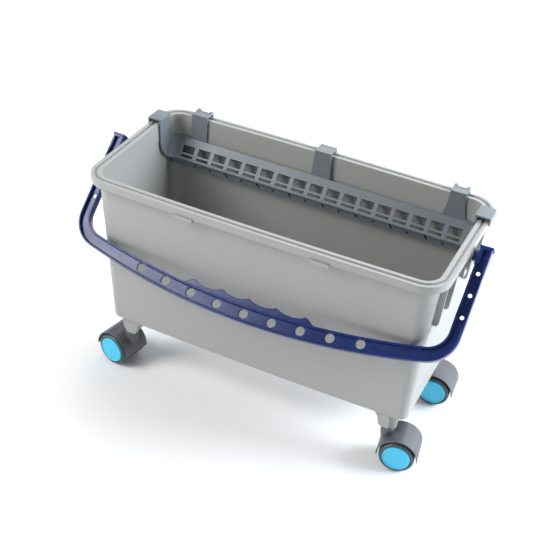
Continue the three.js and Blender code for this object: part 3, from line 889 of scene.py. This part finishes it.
def castor_neck():
    """The neck round the stem, drawn in below to the thickness of the web.

    Each level has its height, half length along X, shift along X and half width along Y.
    """
    levels = [
        (59.9, 8.9, 0, 8.9), (59.0, 9.6, 0, 9.6), (56, 9.8, 0, 9.8),
        (50, 9.9, 0, 9.8), (44, 9.6, 0.6, 8.8), (36, 8.4, 2.4, 6.6),
        (28, 6.8, 5.2, 4.9), (21, 5.2, 8, 4.2), (15, 4, 11.5, 3.9),
    ]
    loops = []
    for z, half_x, shift, half_y in levels:
        loop = []
        for i in range(48):
            a = 2 * math.pi * i / 48
            loop.append(Vector((shift + half_x * math.cos(a), half_y * math.sin(a), z)))
        loops.append(loop)
    return build("neck", skin(loops))


def make_castor_body(tag, material):
    """Hood, web and neck as one moulding, with room for the wheels and bores for stem and axle."""
    body = combine(hood_shell(), "UNION", [castor_web(), castor_neck()])
    cutters = []
    inside = HOOD_R - HOOD_WALL - HOOD_CLEARANCE
    for side in (-1, 1):
        room = [(inside, WHEEL_INNER - 0.6), (inside, 40)]
        cutter = build("room", lathe(room, 72), AT_AXLE)
        if side < 0:
            cutter.data.transform(Matrix.Diagonal((1, -1, 1, 1)))
            cutter.data.flip_normals()
        cutters.append(cutter)
    cutters.append(build("bore", lathe([(AXLE_HOLE_R, -9), (AXLE_HOLE_R, 9)], 32), AT_AXLE))
    cutters.append(build("socket", lathe([(STEM_HOLE_R, WHEEL_R + 4), (STEM_HOLE_R, 70)], 40)))
    combine(body, "DIFFERENCE", cutters)
    node = "castor_" + tag + "_body"
    return piece(
        body, "castor_hood_" + tag, castor_matrix(tag), "castor_" + tag, material, (node,)
    )


def tyre_profile():
    """The tread and both shoulders: a closed loop of [radius, distance out from the castor's middle]."""
    low = WHEEL_INNER + 0.6
    high = WHEEL_OUTER
    corners = [
        (CAP_R + 1.1, low), (CAP_R + 2, low), (WHEEL_R, low + 2.6), (WHEEL_R, high - 4.2),
        (WHEEL_R - 0.9, high - 1.4), (CAP_R + 2.2, high - 0.3), (CAP_R + 1.1, high - 0.5),
    ]
    radii = [0, 0.8, 1.8, 3, 1.6, 1, 0]
    return soften([Vector(c) for c in corners], radii, closed=True, steps=4)


def core_profile():
    """The wheel's hard centre, with the recess that the cap sits in."""
    low = WHEEL_INNER
    high = WHEEL_OUTER
    corners = [
        (AXLE_HOLE_R, low), (8, low), (8, low + 2), (CAP_R + 0.8, low + 2), (CAP_R + 0.8, high - 0.9),
        (CAP_R + 0.5, high - 0.6), (CAP_R + 0.2, high - 1.3), (CAP_R + 0.2, high - 4),
        (AXLE_HOLE_R, high - 4),
    ]
    radii = [0, 0.5, 0, 0.5, 0.5, 0.5, 0.4, 0, 0]
    return soften([Vector(c) for c in corners], radii, closed=True, steps=3)


def cap_profile():
    """The cap: a shallow dome inside a raised rim."""
    high = WHEEL_OUTER
    corners = [
        (0.4, high - 3.6), (CAP_R, high - 3.6), (CAP_R, high - 0.3), (CAP_R - 0.8, high + 0.9),
        (CAP_R - 2.2, high + 1.1), (CAP_R - 3, high), (8, high + 0.7), (0.4, high + 0.9),
    ]
    return soften([Vector(c) for c in corners], [0, 0.3, 0.6, 0.6, 0.5, 0.8, 5, 0], steps=4)


def make_wheel(tag, side, materials):
    """One wheel's core, tyre and cap."""
    body = "wheel_" + tag + "_" + side
    matrix = castor_matrix(tag)
    flip = Matrix.Diagonal((1, -1, 1, 1)) if side == "a" else Matrix.Identity(4)
    rows = [
        ("wheel", "wheel_core", core_profile(), True),
        ("tyre", "tyre", tyre_profile(), True),
        ("cap", "cap_cyan", cap_profile(), False),
    ]
    for kind, slot, profile, closed in rows:
        made = build(kind, lathe(profile, 72, closed), flip @ AT_AXLE)
        node = kind + "_" + tag + "_" + side
        piece(made, kind + "_turned_" + tag + "_" + side, matrix, body, materials[slot], (node,))


# ---------------------------------------------------------------- materials
class Nodes:
    """A small helper that adds and links shader nodes."""

    def __init__(self, name):
        self.material = bpy.data.materials.new(name)
        self.material.use_nodes = True
        self.tree = self.material.node_tree
        self.shader = self.tree.nodes["Principled BSDF"]

    def add(self, kind, inputs=None, **settings):
        node = self.tree.nodes.new(kind)
        for key, value in settings.items():
            setattr(node, key, value)
        for key, value in (inputs or {}).items():
            if isinstance(value, bpy.types.NodeSocket):
                self.tree.links.new(value, node.inputs[key])
            else:
                node.inputs[key].default_value = value
        return node

    def link(self, output, key):
        """Links an output to one of the shader's inputs."""
        self.tree.links.new(output, self.shader.inputs[key])

    def noise(self, scale, detail=2.0, roughness=0.5, stretch=(1, 1, 1)):
        """A noise value in object space; scale is in waves per metre."""
        where = self.add("ShaderNodeTexCoord").outputs["Object"]
        mapped = self.add("ShaderNodeMapping", {"Vector": where, "Scale": stretch}).outputs["Vector"]
        made = self.add(
            "ShaderNodeTexNoise",
            {"Vector": mapped, "Scale": scale, "Detail": detail, "Roughness": roughness},
        )
        return made.outputs["Fac"]

    def remap(self, value, low, high, out_low, out_high):
        """A value carried from one range to another, and held at its ends."""
        made = self.add(
            "ShaderNodeMapRange",
            {"Value": value, "From Min": low, "From Max": high, "To Min": out_low, "To Max": out_high},
        )
        return made.outputs["Result"]

    def mix(self, factor, a, b):
        """A colour between a and b, each a colour or another node's output."""
        made = self.add("ShaderNodeMix", {"Factor": factor}, data_type="RGBA")
        for key, value in ((6, a), (7, b)):
            if isinstance(value, bpy.types.NodeSocket):
                self.tree.links.new(value, made.inputs[key])
            else:
                made.inputs[key].default_value = (*value, 1)
        return made.outputs[2]


def shade(colour, factor):
    """A colour made lighter or darker."""
    return tuple(min(1.0, c * factor) for c in colour)


def plastic(name, colour, rough, specular=0.5, drift=0.05, wear=0.25):
    """Moulded plastic: slow colour drift, fine grain, faint handling streaks and paler worn edges."""
    n = Nodes(name)
    slow = n.remap(n.noise(9, 2.0), 0.3, 0.7, 0, 1)
    base = n.mix(slow, shade(colour, 1 - drift), shade(colour, 1 + drift))
    speck = n.remap(n.noise(420, 3.0, 0.6), 0.62, 0.8, 0, 0.35)
    base = n.mix(speck, base, shade(colour, 0.82))
    edge = n.add("ShaderNodeNewGeometry").outputs["Pointiness"]
    edge = n.remap(edge, 0.53, 0.62, 0, 1)
    patchy = n.remap(n.noise(60, 4.0, 0.6), 0.4, 0.65, 0.15, 1)
    worn = n.add("ShaderNodeMath", {0: edge, 1: patchy}, operation="MULTIPLY").outputs[0]
    worn = n.add("ShaderNodeMath", {0: worn, 1: wear}, operation="MULTIPLY").outputs[0]
    base = n.mix(worn, base, tuple(c * 0.55 + 0.32 for c in colour))
    n.link(base, "Base Color")
    streak = n.remap(n.noise(14, 5.0, 0.65, (1, 1, 6)), 0.35, 0.7, -0.05, 0.07)
    fine = n.remap(n.noise(GRAIN / 3, 2.0), 0.3, 0.7, -0.03, 0.03)
    total = n.add("ShaderNodeMath", {0: streak, 1: fine}, operation="ADD").outputs[0]
    total = n.add("ShaderNodeMath", {0: total, 1: rough}, operation="ADD").outputs[0]
    n.link(total, "Roughness")
    height = n.noise(GRAIN, 3.0, 0.55)
    bump = n.add("ShaderNodeBump", {"Height": height, "Strength": 0.35, "Distance": GRAIN_DEPTH})
    n.link(bump.outputs["Normal"], "Normal")
    n.shader.inputs["Specular IOR Level"].default_value = specular
    n.shader.inputs["IOR"].default_value = 1.49
    return n.material


def rubber(name, colour):
    """Tyre compound with patches of dust and a fine bump."""
    n = Nodes(name)
    dust = n.remap(n.noise(130, 5.0, 0.65), 0.42, 0.72, 0, 0.5)
    base = n.mix(dust, colour, shade(colour, 1.7))
    n.link(base, "Base Color")
    n.link(n.remap(n.noise(700, 3.0), 0.3, 0.7, 0.28, 0.42), "Roughness")
    height = n.noise(900, 4.0, 0.6)
    bump = n.add("ShaderNodeBump", {"Height": height, "Strength": 0.4, "Distance": 0.0003})
    n.link(bump.outputs["Normal"], "Normal")
    n.shader.inputs["Specular IOR Level"].default_value = 0.7
    return n.material


def steel(name):
    """Zinc-plated steel with fine marks and a cloudy colour."""
    n = Nodes(name)
    marks = n.noise(900, 4.0, 0.6, (1, 1, 9))
    cloud = n.remap(n.noise(160, 3.0), 0.3, 0.7, 0, 1)
    n.link(n.mix(cloud, (0.52, 0.53, 0.55), (0.66, 0.66, 0.67)), "Base Color")
    n.link(n.remap(marks, 0.3, 0.7, 0.24, 0.42), "Roughness")
    bump = n.add("ShaderNodeBump", {"Height": marks, "Strength": 0.2, "Distance": 0.0001})
    n.link(bump.outputs["Normal"], "Normal")
    n.shader.inputs["Metallic"].default_value = 1.0
    return n.material


MATERIALS = {
    "tub_grey": plastic("tub_polypropylene", (0.34, 0.345, 0.335), 0.42, drift=0.02, wear=0.2),
    "strainer_grey": plastic("strainer_polypropylene", (0.17, 0.19, 0.215), 0.38, drift=0.04, wear=0.35),
    "handle_blue": plastic("handle_nylon", (0.008, 0.026, 0.15), 0.25, 0.4, drift=0.08, wear=0.12),
    "castor_black": plastic("castor_nylon", (0.07, 0.077, 0.092), 0.42, 0.9, drift=0.08, wear=0.25),
    "cap_cyan": plastic("cap_abs", (0.06, 0.54, 0.81), 0.36, drift=0.04, wear=0.1),
    # The wheel core's teal tint is a painted reflection of the cyan cap. It shows in the groove round the cap;
    # the core's own colour is a dark grey.
    "wheel_core": plastic("wheel_core_nylon_with_painted_cyan_reflection", (0.04, 0.10, 0.13), 0.4, drift=0.05, wear=0.15),
    "tyre": rubber("tyre_compound", (0.04, 0.055, 0.066)),
    "steel": steel("plated_steel"),
}


# ---------------------------------------------------------------- the object
make_tub(MATERIALS["tub_grey"])
make_bail(MATERIALS["handle_blue"])
make_strainer(MATERIALS["strainer_grey"])
for castor in CASTOR_TAGS:
    make_castor_body(castor, MATERIALS["castor_black"])
    for wheel_side in "ab":
        make_wheel(castor, wheel_side, MATERIALS)
    for kind in ("stem", "axle"):
        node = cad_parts["castor_" + castor + "_" + kind]
        node.data.materials.clear()
        node.data.materials.append(MATERIALS["steel"])


# ---------------------------------------------------------------- stage, light and camera
def make_floor():
    """A plain pale floor, just under the wheels."""
    bpy.ops.mesh.primitive_plane_add(size=FLOOR_SIZE, location=(0, 0, -0.0004))
    floor = bpy.context.object
    floor.name = "studio_floor"
    n = Nodes("studio_paper")
    n.shader.inputs["Base Color"].default_value = (0.95, 0.95, 0.955, 1)
    n.shader.inputs["Roughness"].default_value = 0.9
    n.shader.inputs["Specular IOR Level"].default_value = 0.1
    floor.data.materials.append(n.material)


def softbox(name, location, target, size, power, colour=(1, 1, 1)):
    """A rectangular light at a place, turned to a target."""
    data = bpy.data.lights.new(name, "AREA")
    data.shape = "RECTANGLE"
    data.size, data.size_y = size
    data.energy = power
    data.color = colour
    light = bpy.data.objects.new(name, data)
    light.location = location
    aim = Vector(target) - Vector(location)
    light.rotation_mode = "QUATERNION"
    light.rotation_quaternion = aim.to_track_quat("-Z", "Y")
    bpy.context.scene.collection.objects.link(light)


def make_lights():
    """A cool key from the right, softer lights round it, and one for the floor behind."""
    softbox("key_right", (1.7, 0.75, 1.0), (0.1, 0, 0.2), (1.1, 1.1), KEY, (0.86, 0.93, 1))
    softbox("top", (0.25, 0.7, 2.2), (0, 0, 0.2), (2.0, 1.5), TOP)
    softbox("window_left", (-1.25, -1.0, 1.55), (0, 0, 0.2), (0.9, 0.9), WINDOW)
    softbox("backdrop", (0, 2.7, 1.9), (0, 2.3, 0), (3.4, 1.6), BACKDROP)
    softbox("fill_low", (-1.5, -1.35, 0.6), (0, 0, 0.2), (1.3, 0.9), FILL, (1, 0.99, 0.96))
    world = bpy.data.worlds.new("studio")
    world.use_nodes = True
    world.node_tree.nodes["Background"].inputs["Color"].default_value = (1, 1, 1, 1)
    world.node_tree.nodes["Background"].inputs["Strength"].default_value = SKY
    bpy.context.scene.world = world


def make_camera():
    """The camera, turned round the tub's middle and then shifted in its own plane."""
    azimuth = math.radians(CAMERA_AZIMUTH)
    elevation = math.radians(CAMERA_ELEVATION)
    roll = math.radians(CAMERA_ROLL)
    right = Vector((math.cos(azimuth), math.sin(azimuth), 0))
    back = Vector((
        math.sin(azimuth) * math.cos(elevation),
        -math.cos(azimuth) * math.cos(elevation),
        math.sin(elevation),
    ))
    up = back.cross(right)
    turned_right = right * math.cos(roll) + up * math.sin(roll)
    turned_up = up * math.cos(roll) - right * math.sin(roll)
    data = bpy.data.cameras.new("camera")
    data.lens = LENS
    data.sensor_width = SENSOR
    data.clip_start = 0.05
    data.clip_end = 60
    camera = bpy.data.objects.new("camera", data)
    middle = Vector((0, TUB_Y, 0))
    location = middle + turned_right * CAMERA_SIDE + turned_up * CAMERA_RISE + back * CAMERA_DISTANCE
    basis = Matrix((turned_right, turned_up, back)).transposed().to_4x4()
    camera.matrix_world = Matrix.Translation(location) @ basis
    bpy.context.scene.collection.objects.link(camera)
    bpy.context.scene.camera = camera


make_floor()
make_lights()
make_camera()
bpy.context.scene.view_settings.view_transform = "Standard"
